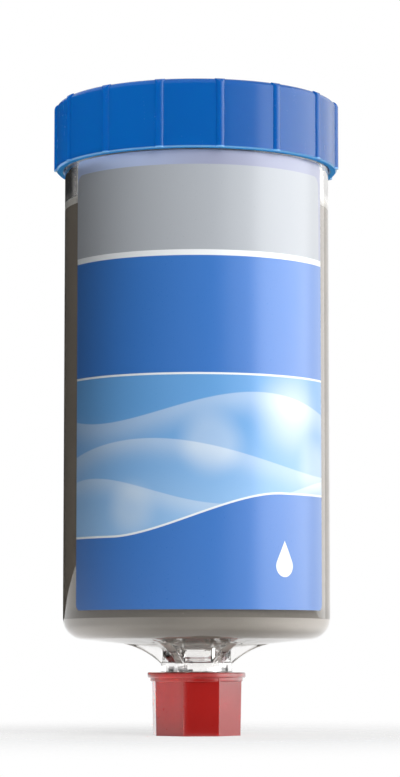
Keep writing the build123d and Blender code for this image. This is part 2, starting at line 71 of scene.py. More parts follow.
THREAD_RADIUS = 0.0065785
THREAD_PITCH = 0.001337
THREAD_LOW = 0.0026
THREAD_HIGH = 0.0108
THREAD_TURNS = 6
THREAD_TAPER = 1 / 32
THREAD_SINK = 0.00015  # how deep the ridge dips into the stem where it runs out

WEB_COUNT = 6
WEB_THICKNESS = 0.0018
WEB_TIP = Vector((0.0145, 0, 0.016508))
WEB_HOLLOW = Vector((0.0159, 0, 0.0029))  # the middle of the arc that hollows the web's edge
WEB_SWEEP = radians(38.1)
WEB_ROOT_RADIUS = 0.0056
WEB_FOOT = 0.01275
WEB_TOP = 0.0159  # the web's flat top lies within the floor's thickness, here and at its tip
WEB_TIP_TOP = 0.01715

PISTON_TRAVEL_ANCHOR = 0.0198  # the height that the piston presses the grease down to
PISTON_LOW = 0.0925
PISTON_LIP_LOW = 0.0947
WET = 0.00002  # how far grease reaches into the wall, so that no air shows between them
WET_RADIUS = BORE_RADIUS + WET

FACE_HEIGHT = 0.1104
INK = 0.00001  # half the thickness of a printed number
SCALE_RADIUS = 0.0175
SCALE_MARKS = 13
SCALE_START = 240  # the compass angle of mark 0, where the pointer rests, in degrees
SCALE_STEP = 25


# ---------------------------------------------------------------- shader helpers
def feed(tree, socket, value):
    """Gives a socket a number, a colour, a vector or what another node puts out."""
    if isinstance(value, (int, float)):
        socket.default_value = value
    elif isinstance(value, tuple):
        socket.default_value = (*value, 1) if socket.type == "RGBA" else value
    else:
        tree.links.new(value, socket)


def give(tree, step, **values):
    """Feeds a node's inputs by their names, with _ for a space."""
    for label, value in values.items():
        feed(tree, step.inputs[label.replace("_", " ")], value)


def calc(tree, operation, *values, clamp=False):
    """What a Math node puts out."""
    step = tree.nodes.new("ShaderNodeMath")
    step.operation = operation
    step.use_clamp = clamp
    for socket, value in zip(step.inputs, values):
        feed(tree, socket, value)
    return step.outputs[0]


def fade(tree, value, start, end):
    """0 up to start and 1 past end, with a soft change between them; end may be the lower one."""
    step = tree.nodes.new("ShaderNodeMapRange")
    step.interpolation_type = "SMOOTHSTEP"
    give(tree, step, Value=value, From_Min=start, From_Max=end)
    return step.outputs["Result"]


def blend_colour(tree, mask, below, above):
    """below where the mask is 0 and above where it is 1."""
    step = tree.nodes.new("ShaderNodeMix")
    step.data_type = "RGBA"
    for socket, value in ((step.inputs[0], mask), (step.inputs[6], below), (step.inputs[7], above)):
        feed(tree, socket, value)
    return step.outputs[2]


def noise(tree, place, scale, detail=2.0, roughness=0.5):
    """A noise pattern, 0 to 1."""
    step = tree.nodes.new("ShaderNodeTexNoise")
    give(tree, step, Vector=place, Scale=scale, Detail=detail, Roughness=roughness)
    return step.outputs[0]


def place_on_piece(tree, stretch=(1, 1, 1)):
    """Object coordinates, stretched."""
    coordinate = tree.nodes.new("ShaderNodeTexCoord")
    mapping = tree.nodes.new("ShaderNodeMapping")
    give(tree, mapping, Vector=coordinate.outputs["Object"], Scale=stretch)
    return mapping.outputs["Vector"]


def place_in_mm(tree):
    """Object coordinates in mm, as X, Y and Z; every size in a finish's pattern is in mm."""
    split = tree.nodes.new("ShaderNodeSeparateXYZ")
    tree.links.new(place_on_piece(tree, (1000, 1000, 1000)), split.inputs[0])
    return split.outputs["X"], split.outputs["Y"], split.outputs["Z"]


def distance(tree, first, second):
    """How far off a point lies, from its distances along two directions at right angles."""
    squares = calc(tree, "ADD", calc(tree, "MULTIPLY", first, first), calc(tree, "MULTIPLY", second, second))
    return calc(tree, "SQRT", squares)


def make_group(name, inputs, outputs):
    """An empty node group, its inputs and its end; inputs are (name, kind, value), outputs (name, kind)."""
    group = bpy.data.node_groups.new(name, "ShaderNodeTree")
    for label, kind, value in inputs:
        socket = group.interface.new_socket(label, in_out="INPUT", socket_type=kind)
        socket.default_value = value
    for label, kind in outputs:
        group.interface.new_socket(label, in_out="OUTPUT", socket_type=kind)
    start = group.nodes.new("NodeGroupInput")
    end = group.nodes.new("NodeGroupOutput")
    return group, start.outputs, end


COLOUR = "NodeSocketColor"
NUMBER = "NodeSocketFloat"


def make_moulded_group():
    """Injection-moulded plastic: flow marks from the gate and the grain of the mould."""
    group, given, end = make_group(
        "moulded surface",
        [
            ("Colour", COLOUR, (0.5, 0.5, 0.5, 1)), ("Flow", NUMBER, 0.1),
            ("Roughness", NUMBER, 0.4), ("Grain", NUMBER, 2500.0),
        ],
        [("Colour", COLOUR), ("Roughness", NUMBER), ("Relief", NUMBER)],
    )
    flow = noise(group, place_on_piece(group, (1, 1, 0.3)), 90.0, 3.0)
    grain = noise(group, place_on_piece(group), given["Grain"], 2.0)
    change = calc(group, "MULTIPLY", calc(group, "SUBTRACT", flow, 0.5), given["Flow"])
    shade = group.nodes.new("ShaderNodeHueSaturation")
    give(group, shade, Color=given["Colour"], Value=calc(group, "ADD", change, 1.0))
    rougher = calc(group, "ADD", calc(group, "MULTIPLY", change, 0.6), given["Roughness"])
    speck = calc(group, "MULTIPLY", calc(group, "SUBTRACT", grain, 0.5), 0.12)
    give(
        group, end, Colour=shade.outputs["Color"], Roughness=calc(group, "ADD", rougher, speck, clamp=True),
        Relief=calc(group, "ADD", grain, calc(group, "MULTIPLY", flow, 0.5)),
    )
    return group


def make_rolled_group():
    """Rolled or drawn metal: fine lines along one direction and small stains."""
    group, given, end = make_group(
        "rolled metal",
        [("Colour", COLOUR, (0.6, 0.6, 0.6, 1)), ("Roughness", NUMBER, 0.3), ("Line Scale", NUMBER, 900.0)],
        [("Colour", COLOUR), ("Roughness", NUMBER), ("Relief", NUMBER)],
    )
    lines = noise(group, place_on_piece(group, (0.06, 1, 1)), given["Line Scale"], 3.0, 0.6)
    stain = noise(group, place_on_piece(group), 220.0, 3.0)
    tone = calc(group, "ADD", calc(group, "MULTIPLY", lines, 0.16), calc(group, "MULTIPLY", stain, 0.14))
    shade = group.nodes.new("ShaderNodeHueSaturation")
    give(group, shade, Color=given["Colour"], Value=calc(group, "ADD", tone, 0.85))
    rough = calc(group, "ADD", calc(group, "MULTIPLY", lines, 0.2), given["Roughness"], clamp=True)
    give(group, end, Colour=shade.outputs["Color"], Roughness=rough, Relief=lines)
    return group


def make_handling_group():
    """Faint smears and hair scratches where hands and packing have touched."""
    group, given, end = make_group(
        "handling marks",
        [("Amount", NUMBER, 0.1)],
        [("Marks", NUMBER)],
    )
    smear = fade(group, noise(group, place_on_piece(group, (1, 1, 0.45)), 130.0, 4.0, 0.65), 0.52, 0.72)
    hair = fade(group, noise(group, place_on_piece(group, (1, 1, 0.05)), 1500.0, 1.0), 0.66, 0.72)
    both = calc(group, "MAXIMUM", smear, calc(group, "MULTIPLY", hair, 0.7))
    give(group, end, Marks=calc(group, "MULTIPLY", both, given["Amount"]))
    return group


moulded_surface = make_moulded_group()
rolled_metal = make_rolled_group()
handling_marks = make_handling_group()


def new_finish(name):
    """A material with its Principled shader."""
    material = bpy.data.materials.new(name)
    material.use_nodes = True
    return material, material.node_tree, material.node_tree.nodes["Principled BSDF"]


def use_group(tree, group, **values):
    """Places a shared group with this finish's own values."""
    step = tree.nodes.new("ShaderNodeGroup")
    step.node_tree = group
    give(tree, step, **values)
    return step.outputs


def moulded_look(tree, colour, flow, roughness, grain, marks):
    """Colour, roughness and relief of a moulded surface that has been handled."""
    surface = use_group(tree, moulded_surface, Colour=colour, Flow=flow, Roughness=roughness, Grain=grain)
    handled = use_group(tree, handling_marks, Amount=marks)
    rough = calc(tree, "ADD", surface["Roughness"], handled["Marks"], clamp=True)
    return surface["Colour"], rough, surface["Relief"]


def raise_surface(tree, shader, height, depth, strength=1.0):
    """Feeds a Bump node from a height pattern."""
    bump = tree.nodes.new("ShaderNodeBump")
    give(tree, bump, Strength=strength, Distance=depth, Height=height)
    give(tree, shader, Normal=bump.outputs["Normal"])


def moulded_finish(name, colour, roughness, flow, grain, depth, **shader_values):
    """Moulded plastic or rubber in one colour, with flow marks, grain and handling marks."""
    material, tree, shader = new_finish(name)
    tint, rough, relief = moulded_look(tree, colour, flow, roughness, grain, 0.06)
    give(tree, shader, Base_Color=tint, Roughness=rough, **shader_values)
    raise_surface(tree, shader, relief, depth)
    return material


def metal_finish(name, colour, roughness, line_scale):
    """Bright rolled or drawn metal."""
    material, tree, shader = new_finish(name)
    surface = use_group(tree, rolled_metal, Colour=colour, Roughness=roughness, Line_Scale=line_scale)
    give(tree, shader, Base_Color=surface["Colour"], Roughness=surface["Roughness"], Metallic=1.0)
    raise_surface(tree, shader, surface["Relief"], 0.000004)
    return material


def wear(piece, material):
    """Gives a piece its one material."""
    if not piece.material_slots:
        piece.data.materials.append(material)
    for slot in piece.material_slots:
        slot.material = material


# ---------------------------------------------------------------- finishes
head_grey = moulded_finish("head grey plastic", (0.6, 0.62, 0.64), 0.5, 0.06, 3200.0, 0.00001)
cap_red = moulded_finish(
    "cap red plastic", (0.385, 0.009, 0.007), 0.3, 0.08, 2200.0, 0.000008,
    Coat_Weight=1.0, Coat_Roughness=0.15,
    Subsurface_Weight=0.35, Subsurface_Scale=0.002, Subsurface_Radius=(1.0, 0.25, 0.15),
)
liner_white = moulded_finish("liner foam", (0.74, 0.74, 0.71), 0.8, 0.04, 5000.0, 0.00004)
piston_ivory = moulded_finish("piston plastic", (0.95, 0.93, 0.88), 0.45, 0.05, 2500.0, 0.000008)
piston_rubber = moulded_finish("piston rubber", (0.3, 0.28, 0.25), 0.5, 0.05, 3000.0, 0.000006)
black_rubber = moulded_finish("black rubber", (0.02, 0.02, 0.02), 0.42, 0.1, 3500.0, 0.000008)
gasket_cream = moulded_finish("gasket plastic", (0.7, 0.68, 0.62), 0.45, 0.05, 2500.0, 0.000006)
membrane_white = moulded_finish("membrane film", (0.78, 0.78, 0.75), 0.75, 0.04, 9000.0, 0.00002)
paste_grey = moulded_finish("cell paste", (0.09, 0.095, 0.1), 0.85, 0.3, 7000.0, 0.00006)
spring_steel = metal_finish("spring steel", (0.56, 0.56, 0.58), 0.25, 1200.0)
contact_alloy = metal_finish("contact alloy", (0.7, 0.55, 0.28), 0.22, 1400.0)
cell_steel = metal_finish("nickelled steel", (0.66, 0.65, 0.62), 0.18, 700.0)


def make_ring_finish():
    """Blue moulded plastic that lets some light through, with a painted glow of lighter blue along its thin
    lower edge and a lighter blue painted on its duller underside as light from below.
    """
    material, tree, shader = new_finish("ring blue plastic")
    x, y, z = place_in_mm(tree)
    ring_low = 101.9
    # painted glow: a lighter blue along the thin lower edge stands in for light coming through it
    edge = fade(tree, z, ring_low + 0.35, ring_low + 0.2)
    # painted light: the underside gets a lighter blue in place of light from below, and more roughness
    within = fade(tree, distance(tree, x, y), 25.5, 25.4)
    underside = calc(tree, "MULTIPLY", fade(tree, z, ring_low + 0.05, ring_low + 0.03), within)
    colour = blend_colour(tree, edge, (0.0003, 0.096, 0.38), (0.16, 0.42, 0.80))
    colour = blend_colour(tree, underside, colour, (0.03, 0.32, 0.78))
    tint, rough, relief = moulded_look(tree, colour, 0.07, 0.22, 2600.0, 0.06)
    duller = calc(tree, "MULTIPLY_ADD", underside, 0.7, rough, clamp=True)
    give(
        tree, shader, Base_Color=tint, Roughness=duller, Specular_IOR_Level=0.35,
        Subsurface_Weight=0.3, Subsurface_Scale=0.003, Subsurface_Radius=(0.2, 0.5, 1.0),
    )
    raise_surface(tree, shader, relief, 0.000006)
    return material


def make_clear_plastic():
    """Polished clear plastic with a trace of grey, slight waviness and handling marks."""
    material, tree, shader = new_finish("clear plastic")
    surface = use_group(
        tree, moulded_surface, Colour=(0.965, 0.955, 0.945), Flow=0.04, Roughness=0.035, Grain=1500.0,
    )
    handled = use_group(tree, handling_marks, Amount=0.04)
    smooth = calc(tree, "MULTIPLY", surface["Roughness"], 0.6)
    rough = calc(tree, "ADD", smooth, handled["Marks"], clamp=True)
    give(
        tree, shader, Base_Color=surface["Colour"], Roughness=rough, IOR=1.57, Transmission_Weight=1.0,
    )
    waves = noise(tree, place_on_piece(tree, (1, 1, 0.4)), 160.0, 2.0)
    raise_surface(tree, shader, waves, 0.00004, 0.25)
    return material


def make_grease_finish(name, deep, light, low, painted_middle_light):
    """Greyish-brown grease with soft folds and specks of air; painted shade darkens it above the heel, and
    painted light makes it paler at the heel's sides and round the axis when given a paler middle colour.
    """
    material, tree, shader = new_finish(name)
    x, y, z = place_in_mm(tree)
    folds = noise(tree, place_on_piece(tree, (1, 1, 2.2)), 85.0, 4.0, 0.55)
    specks = fade(tree, noise(tree, place_on_piece(tree), 1900.0, 1.0), 0.72, 0.78)
    body = blend_colour(tree, folds, deep, light)
    # painted shade: a darker band just above the heel, under the label's lower edge
    shade = calc(tree, "MULTIPLY", fade(tree, z, 23.2, 21.6), 0.5)
    body = blend_colour(tree, shade, body, (0.1, 0.09, 0.075))
    # painted light: below the heel line the grease turns much paler towards the left and right sides
    painted_side_light = blend_colour(tree, fade(tree, calc(tree, "ABSOLUTE", x), 4, 23), low, (0.68, 0.64, 0.59))
    body = blend_colour(tree, fade(tree, z, 20.85, 20.7), body, painted_side_light)
    # painted light: paler colour round the axis, where the neck and cap leave the grease in shade
    body = blend_colour(tree, fade(tree, distance(tree, x, y), 15.0, 9.0), body, painted_middle_light)
    body = blend_colour(tree, calc(tree, "MULTIPLY", specks, 0.35), body, (0.5, 0.47, 0.42))
    rough = calc(tree, "MULTIPLY_ADD", folds, 0.15, 0.32)
    give(tree, shader, Base_Color=body, Roughness=rough, IOR=1.47, Specular_IOR_Level=0.25)
    raise_surface(tree, shader, folds, 0.0002, 0.4)
    return material


def make_label_place_group():
    """Where a point lies on the unrolled label: across from its middle line, and height, both in mm."""
    group, given, end = make_group(
        "place on label",
        [("Radius", NUMBER, 24.1)],
        [("Across", NUMBER), ("Height", NUMBER), ("Radius", NUMBER)],
    )
    x, y, z = place_in_mm(group)
    angle = calc(group, "ARCTAN2", x, calc(group, "MULTIPLY", y, -1.0))
    across = calc(group, "MULTIPLY", angle, given["Radius"])
    give(group, end, Across=across, Height=z, Radius=distance(group, x, y))
    return group


def printed_disc(tree, across, height, middle, radius, softness):
    """1 inside a printed disc, with a soft or crisp edge."""
    sideways = calc(tree, "SUBTRACT", across, middle[0])
    upward = calc(tree, "SUBTRACT", height, middle[1])
    return fade(tree, distance(tree, sideways, upward), radius, radius - softness)


def printed_wave(tree, across, height, base, swing, wave, phase, width):
    """A long wave of the printed picture: crisp on its upper edge, fading downwards."""
    angle = calc(tree, "MULTIPLY_ADD", across, wave, phase)
    line = calc(tree, "MULTIPLY_ADD", calc(tree, "SINE", angle), swing, base)
    below = calc(tree, "SUBTRACT", line, height)
    crisp = fade(tree, below, -0.12, 0.12)
    soft = fade(tree, below, width, 0.1)
    return calc(tree, "MULTIPLY", crisp, calc(tree, "POWER", soft, 1.6))


def make_label_picture(tree, across, height):
    """The label's picture: a vertical fade, three waves and soft discs of light."""
    light = printed_disc(tree, across, height, (17, 56), 9.5, 9)
    for middle, radius in (((-13, 39.5), 6.0), ((1.5, 50.5), 7.0), ((24, 47), 6.5)):
        disc = printed_disc(tree, across, height, middle, radius, 4.5)
        light = calc(tree, "ADD", light, calc(tree, "MULTIPLY", disc, 0.5))
    for base, swing, wave, phase, width in (
        (57.0, 2.6, 0.105, 0.5, 7.0), (48.5, 3.0, 0.085, 2.4, 6.0), (42.5, 2.4, 0.12, 4.2, 5.0),
    ):
        ribbon = printed_wave(tree, across, height, base, swing, wave, phase, width)
        light = calc(tree, "ADD", light, calc(tree, "MULTIPLY", ribbon, 0.55))
    ground = blend_colour(tree, fade(tree, height, 58, 36), (0.13, 0.37, 0.74), (0.30, 0.54, 0.86))
    return blend_colour(tree, calc(tree, "MULTIPLY", light, 0.72, clamp=True), ground, (0.78, 0.87, 0.95))


def make_grey_field_edge(tree, across, height):
    """1 outside the grey field, which stops short of the film's edges and has round upper corners."""
    off_middle = calc(tree, "ABSOLUTE", calc(tree, "ADD", across, 0.43))
    past_side = calc(tree, "MAXIMUM", calc(tree, "SUBTRACT", off_middle, 24.63), 0.0)
    past_top = calc(tree, "MAXIMUM", calc(tree, "SUBTRACT", height, 97.4), 0.0)
    corner = fade(tree, distance(tree, past_side, past_top), 1.72, 1.84)
    return calc(tree, "MULTIPLY", corner, fade(tree, height, 84.1, 84.2))


def make_drop(tree, across, height):
    """1 inside a drop on the label's lower field: a round bowl and a straight-sided tip."""
    aside = calc(tree, "ABSOLUTE", calc(tree, "SUBTRACT", across, 15.5))
    up = calc(tree, "SUBTRACT", height, 29.6)
    bowl = printed_disc(tree, aside, up, (0.0, 0.0), 1.95, 0.1)
    side_line = calc(tree, "ADD", calc(tree, "MULTIPLY", aside, 0.9), calc(tree, "MULTIPLY", up, 0.436))
    tip = calc(tree, "MULTIPLY", fade(tree, side_line, 1.96, 1.86), fade(tree, up, 0.78, 0.88))
    return calc(tree, "MAXIMUM", bowl, tip)


def make_label_print():
    """Satin film printed in fields of grey and blue, with a plain picture of waves and soft light."""
    material, tree, shader = new_finish("printed film")
    spot = use_group(tree, make_label_place_group(), Radius=24.1)
    across, height = spot["Across"], spot["Height"]

    deep_blue = (0.040, 0.185, 0.57)
    near_white = (0.92, 0.95, 0.97)
    field_grey = (0.435, 0.463, 0.50)
    film_back = (0.62, 0.64, 0.68)

    # the lower blue field rises in one long sweep towards the right, with a white line along its edge
    sweep = calc(tree, "MULTIPLY_ADD", fade(tree, across, -17, 15), 7.5, 34.5)
    over_sweep = calc(tree, "SUBTRACT", height, sweep)
    colour = blend_colour(tree, fade(tree, over_sweep, -0.05, 0.05), deep_blue, near_white)
    picture = make_label_picture(tree, across, height)
    colour = blend_colour(tree, fade(tree, over_sweep, 0.30, 0.42), colour, picture)

    # straight fields above the picture, parted by white lines
    for level, field in ((62.4, near_white), (62.75, deep_blue), (83.15, near_white), (84.15, field_grey)):
        colour = blend_colour(tree, fade(tree, height, level, level + 0.1), colour, field)

    # margin round the grey field: its greyish lavender is print; the lighter blue towards the left is a
    # painted glow from the ring above
    margin_painted_glow = blend_colour(tree, fade(tree, across, 4, -18), (0.33, 0.35, 0.48), (0.50, 0.60, 0.85))
    colour = blend_colour(tree, make_grey_field_edge(tree, across, height), colour, margin_painted_glow)
    colour = blend_colour(tree, make_drop(tree, across, height), colour, near_white)
    colour = blend_colour(tree, fade(tree, spot["Radius"], 24.04, 24.06), film_back, colour)

    tint, rough, relief = moulded_look(tree, colour, 0.04, 0.3, 3800.0, 0.05)
    give(tree, shader, Base_Color=tint, Roughness=rough, Coat_Weight=0.6, Coat_Roughness=0.3)
    raise_surface(tree, shader, relief, 0.000004)
    return material


def make_dial_finish():
    """Dark moulded dial with a white stripe filled in along its pointer."""
    material, tree, shader = new_finish("dial plastic")
    x, y, z = place_in_mm(tree)
    ahead, aside = cos(radians(SCALE_START)), sin(radians(SCALE_START))
    along = calc(tree, "ADD", calc(tree, "MULTIPLY", x, ahead), calc(tree, "MULTIPLY", y, aside))
    beside = calc(tree, "SUBTRACT", calc(tree, "MULTIPLY", y, ahead), calc(tree, "MULTIPLY", x, aside))
    narrow = fade(tree, calc(tree, "ABSOLUTE", beside), 0.4, 0.34)
    stripe = calc(tree, "MULTIPLY", fade(tree, along, 5.9, 6.0), narrow)
    stripe = calc(tree, "MULTIPLY", stripe, fade(tree, z, 113.5, 113.55))
    tint, rough, relief = moulded_look(tree, (0.022, 0.025, 0.03), 0.12, 0.42, 2800.0, 0.1)
    give(tree, shader, Base_Color=blend_colour(tree, stripe, tint, (0.8, 0.8, 0.78)), Roughness=rough)
    raise_surface(tree, shader, relief, 0.000012)
    return material


def make_board_finish():
    """Green lacquered laminate with the weave of its glass cloth and tinned contact rings."""
    material, tree, shader = new_finish("board laminate")
    x, y, z = place_in_mm(tree)
    threads = [calc(tree, "SINE", calc(tree, "MULTIPLY", way, 14.0)) for way in (x, y)]
    weave = calc(tree, "MULTIPLY", *threads)
    off_track = calc(tree, "ABSOLUTE", calc(tree, "SUBTRACT", distance(tree, x, y), 8.2))
    tracks = calc(tree, "MULTIPLY", fade(tree, off_track, 0.62, 0.56), fade(tree, z, 107.25, 107.28))
    woven = calc(tree, "MULTIPLY_ADD", weave, 0.5, 0.5)
    green = blend_colour(tree, woven, (0.012, 0.11, 0.04), (0.02, 0.15, 0.06))
    dull = noise(tree, place_on_piece(tree), 700.0)
    give(
        tree, shader, Base_Color=blend_colour(tree, tracks, green, (0.72, 0.6, 0.33)),
        Metallic=calc(tree, "MULTIPLY", tracks, 0.9), Roughness=calc(tree, "MULTIPLY_ADD", dull, 0.15, 0.2),
    )
    raise_surface(tree, shader, calc(tree, "ADD", weave, tracks), 0.00001, 0.5)
    return material


def make_resistor_finish():
    """Small dark resistors with tinned ends."""
    material, tree, shader = new_finish("resistor body")
    x, y, _ = place_in_mm(tree)
    off_middle = calc(tree, "ABSOLUTE", calc(tree, "SUBTRACT", distance(tree, x, y), 12.2))
    ends = fade(tree, off_middle, 1.02, 1.08)
    surface = use_group(
        tree, moulded_surface, Colour=(0.02, 0.02, 0.024), Flow=0.1, Roughness=0.35, Grain=4000.0,
    )
    tint = blend_colour(tree, ends, surface["Colour"], (0.7, 0.7, 0.69))
    give(tree, shader, Base_Color=tint, Metallic=ends, Roughness=surface["Roughness"])
    raise_surface(tree, shader, surface["Relief"], 0.000008)
    return material


ring_blue = make_ring_finish()
clear_plastic = make_clear_plastic()
grease_deep, grease_light, grease_low = (0.31, 0.272, 0.225), (0.33, 0.29, 0.24), (0.32, 0.29, 0.25)
grease_finish = make_grease_finish("grease", grease_deep, grease_light, grease_low, grease_low)
# the grease on the floor gets a much paler middle: painted light where the neck and cap shade it
grease_floor_finish = make_grease_finish(
    "grease on the floor", grease_deep, grease_light, grease_low, (0.82, 0.78, 0.72),
)
label_print = make_label_print()
dial_dark = make_dial_finish()
board_green = make_board_finish()
resistor_dark = make_resistor_finish()
dark_cloth = moulded_finish("dark cloth", (0.012, 0.012, 0.012), 0.9, 0.2, 800.0, 0.0001)
grey_cloth = moulded_finish("grey cloth", (0.42, 0.40, 0.40), 0.9, 0.2, 800.0, 0.0001)
number_print = moulded_finish("number print", (0.04, 0.042, 0.048), 0.5, 0.05, 4000.0, 0.000003)


# ---------------------------------------------------------------- making pieces
def piece_from(bm, name):
    """Turns a bmesh into a piece whose flats stay flat and whose rounds are smooth."""
    mesh = bpy.data.meshes.new(name)
    bm.to_mesh(mesh)
    bm.free()
    mesh.shade_smooth()
    mesh.set_sharp_from_angle(angle=radians(30))
    piece = bpy.data.objects.new(name, mesh)
    bpy.context.scene.collection.objects.link(piece)
    return piece


def solid_of(node):
    """The mesh of a solid of the part, with its doubled corners merged."""
    bm = bmesh.new()
    bm.from_mesh(nodes[node].data)
    for layer in list(bm.loops.layers.float_vector):
        bm.loops.layers.float_vector.remove(layer)
    bmesh.ops.remove_doubles(bm, verts=bm.verts, dist=1e-6)
    return bm


def make_outlet_thread():
    """The tapered pipe thread of the stem, as a ridge that runs out at both ends."""
    per_turn = 48
    last = per_turn * THREAD_TURNS
    run_out_steps = per_turn * 0.6
    foot_radius = STEM_RADIUS - 0.0002
    foot, crest = 0.00058, 0.0001  # half the ridge's width at its foot and at its crest
    bm = bmesh.new()
    ridge = ((foot_radius, -foot), (THREAD_RADIUS, -crest), (THREAD_RADIUS, crest), (foot_radius, foot))
    bm.faces.new([bm.verts.new((radius, 0, THREAD_LOW + offset)) for radius, offset in ridge])
    bmesh.ops.spin(
        bm, geom=bm.verts[:] + bm.edges[:] + bm.faces[:], cent=(0, 0, 0), axis=(0, 0, 1),
        dvec=(0, 0, THREAD_PITCH / per_turn), angle=2 * pi * THREAD_TURNS, steps=last,
        use_merge=False, use_duplicate=False,
    )
    sunk_radius = STEM_RADIUS - THREAD_SINK
    for index, vertex in enumerate(bm.verts):
        step = index // len(ridge)
        run_out = min(1.0, step / run_out_steps, (last - step) / run_out_steps)
        taper = (THREAD_HIGH - vertex.co.z) * THREAD_TAPER
        radius = vertex.co.xy.length
        if radius > STEM_RADIUS:
            vertex.co.xy *= (sunk_radius + (radius - taper - sunk_radius) * run_out) / radius
    bmesh.ops.recalc_face_normals(bm, faces=bm.faces)
    return piece_from(bm, "thread_ridge")


def rounded_section(corners):
    """A closed half section from its corners: radius and height, and where a corner is rounded, how far
    along its sides and in how many steps.
    """
    bm = bmesh.new()
    points = [bm.verts.new((radius, 0, height)) for radius, height, *_ in corners]
    for first, second in zip(points, points[1:] + points[:1]):
        bm.edges.new((first, second))
    for point, (_, _, *rounding) in zip(points, corners):
        if rounding:
            bmesh.ops.bevel(
                bm, geom=[point], offset=rounding[0], offset_type="OFFSET", affect="VERTICES",
                segments=rounding[1], profile=0.5, material=-1,
            )
    return bm


def turn_section(bm, name, steps=128):
    """Spins a closed half section once round the axis."""
    bmesh.ops.spin(
        bm, geom=bm.verts[:] + bm.edges[:], cent=(0, 0, 0), axis=(0, 0, 1), dvec=(0, 0, 0),
        angle=2 * pi, steps=steps, use_merge=True, use_duplicate=False,
    )
    bmesh.ops.remove_doubles(bm, verts=bm.verts, dist=1e-7)
    bmesh.ops.recalc_face_normals(bm, faces=bm.faces)
    return piece_from(bm, name)


def make_neck_web(turn):
    """One thin web under the floor, with its hollow curved edge and softened sides."""
    bm = bmesh.new()
    bmesh.ops.spin(
        bm, geom=[bm.verts.new(WEB_TIP)], cent=WEB_HOLLOW, axis=(0, 1, 0), dvec=(0, 0, 0), angle=-WEB_SWEEP,
        steps=20, use_merge=False, use_duplicate=False,
    )
    bm.verts.ensure_lookup_table()
    arc = list(bm.verts)
    root = [
        bm.verts.new((radius, 0, height)) for radius, height in
        ((WEB_ROOT_RADIUS, WEB_FOOT), (WEB_ROOT_RADIUS, WEB_TOP), (WEB_TIP.x, WEB_TIP_TOP))
    ]
    grown = bmesh.ops.extrude_face_region(bm, geom=[bm.faces.new(arc + root)])
    moved = [part for part in grown["geom"] if isinstance(part, bmesh.types.BMVert)]
    bmesh.ops.translate(bm, verts=moved, vec=(0, WEB_THICKNESS, 0))
    bmesh.ops.translate(bm, verts=bm.verts, vec=(0, -WEB_THICKNESS / 2, 0))
    bmesh.ops.recalc_face_normals(bm, faces=bm.faces)
    arc_radius = (WEB_TIP - WEB_HOLLOW).length
    curved = [
        edge for edge in bm.edges
        if abs(edge.verts[0].co.y - edge.verts[1].co.y) < 1e-6
        and all(abs((corner.co - WEB_HOLLOW).xz.length - arc_radius) < 1e-4 for corner in edge.verts)
    ]
    bmesh.ops.bevel(
        bm, geom=curved, offset=0.00035, offset_type="OFFSET", affect="EDGES",
        segments=4, profile=0.5, material=-1,
    )
    bmesh.ops.rotate(bm, verts=bm.verts, cent=(0, 0, 0), matrix=Matrix.Rotation(turn, 3, "Z"))
    return piece_from(bm, "neck_web")


def make_container():
    """The clear container in one moulding: canister, neck, webs and the stem with its thread."""
    section = rounded_section([
        (OUTLET_RADIUS, TIP_HEIGHT),
        (STEM_RADIUS - LEAD_IN, TIP_HEIGHT),
        (STEM_RADIUS, TIP_HEIGHT + LEAD_IN),
        (STEM_RADIUS, COLLAR_LOW),
        (COLLAR_RADIUS, COLLAR_LOW, 0.00015, 3),
        (COLLAR_RADIUS, COLLAR_TOP, 0.0001, 3),
        (NECK_RADIUS, COLLAR_TOP, 0.0001, 3),
        (NECK_RADIUS, FLOOR_AT_NECK, 0.0006, 5),
        (HEEL_RADIUS, FLOOR_AT_HEEL, 0.0028, 14),
        (WALL_RADIUS, HEEL_TOP),
        (WALL_RADIUS, BEAD_LOW),
        (WALL_RADIUS + BEAD_PROUD, BEAD_LOW, 0.00012, 2),
        (WALL_RADIUS + BEAD_PROUD, BEAD_TOP - BEAD_PROUD, 0.0002, 3),
        (WALL_RADIUS, BEAD_TOP),
        (WALL_RADIUS, RIM_HEIGHT, 0.0002, 3),
        (BORE_RADIUS, RIM_HEIGHT, 0.0002, 3),
        (BORE_RADIUS, INNER_HEEL, INNER_HEEL_ROUND, 8),
        (FUNNEL_RADIUS, FUNNEL_TOP, 0.0008, 5),
        (OUTLET_RADIUS, FUNNEL_TOP - FUNNEL_DEPTH, 0.0008, 5),
    ])
    container = turn_section(section, "container_threaded", 144)
    additions = [make_neck_web(2 * pi * web / WEB_COUNT) for web in range(WEB_COUNT)] + [make_outlet_thread()]
    for addition in additions:
        join = container.modifiers.new("join", "BOOLEAN")
        join.operation = "UNION"
        join.solver = "EXACT"
        join.object = addition
    shape = bpy.data.meshes.new_from_object(container.evaluated_get(bpy.context.evaluated_depsgraph_get()))
    container.modifiers.clear()
    container.data = shape
    shape.shade_smooth()
    shape.set_sharp_from_angle(angle=radians(32))
    for addition in additions:
        bpy.data.objects.remove(addition)
    return container


def make_piston():
    """The follower piston with its upper lip wetted to the wall by grease, so no air shows beside it."""
    bm = solid_of("piston")
    for vertex in bm.verts:
        radius = vertex.co.xy.length
        if radius > BORE_RADIUS - 0.0002 and vertex.co.z > PISTON_LIP_LOW - WET:
            vertex.co.xy *= WET_RADIUS / radius
    return piece_from(bm, "follower_piston")


def make_grease_smear():
    """The grease dragged along beside the piston, over its seal."""
    inside, low, top = WET_RADIUS - 0.0001, PISTON_LOW, PISTON_LIP_LOW
    section = rounded_section([(inside, low), (WET_RADIUS, low), (WET_RADIUS, top), (inside, top)])
    return turn_section(section, "grease_smear")


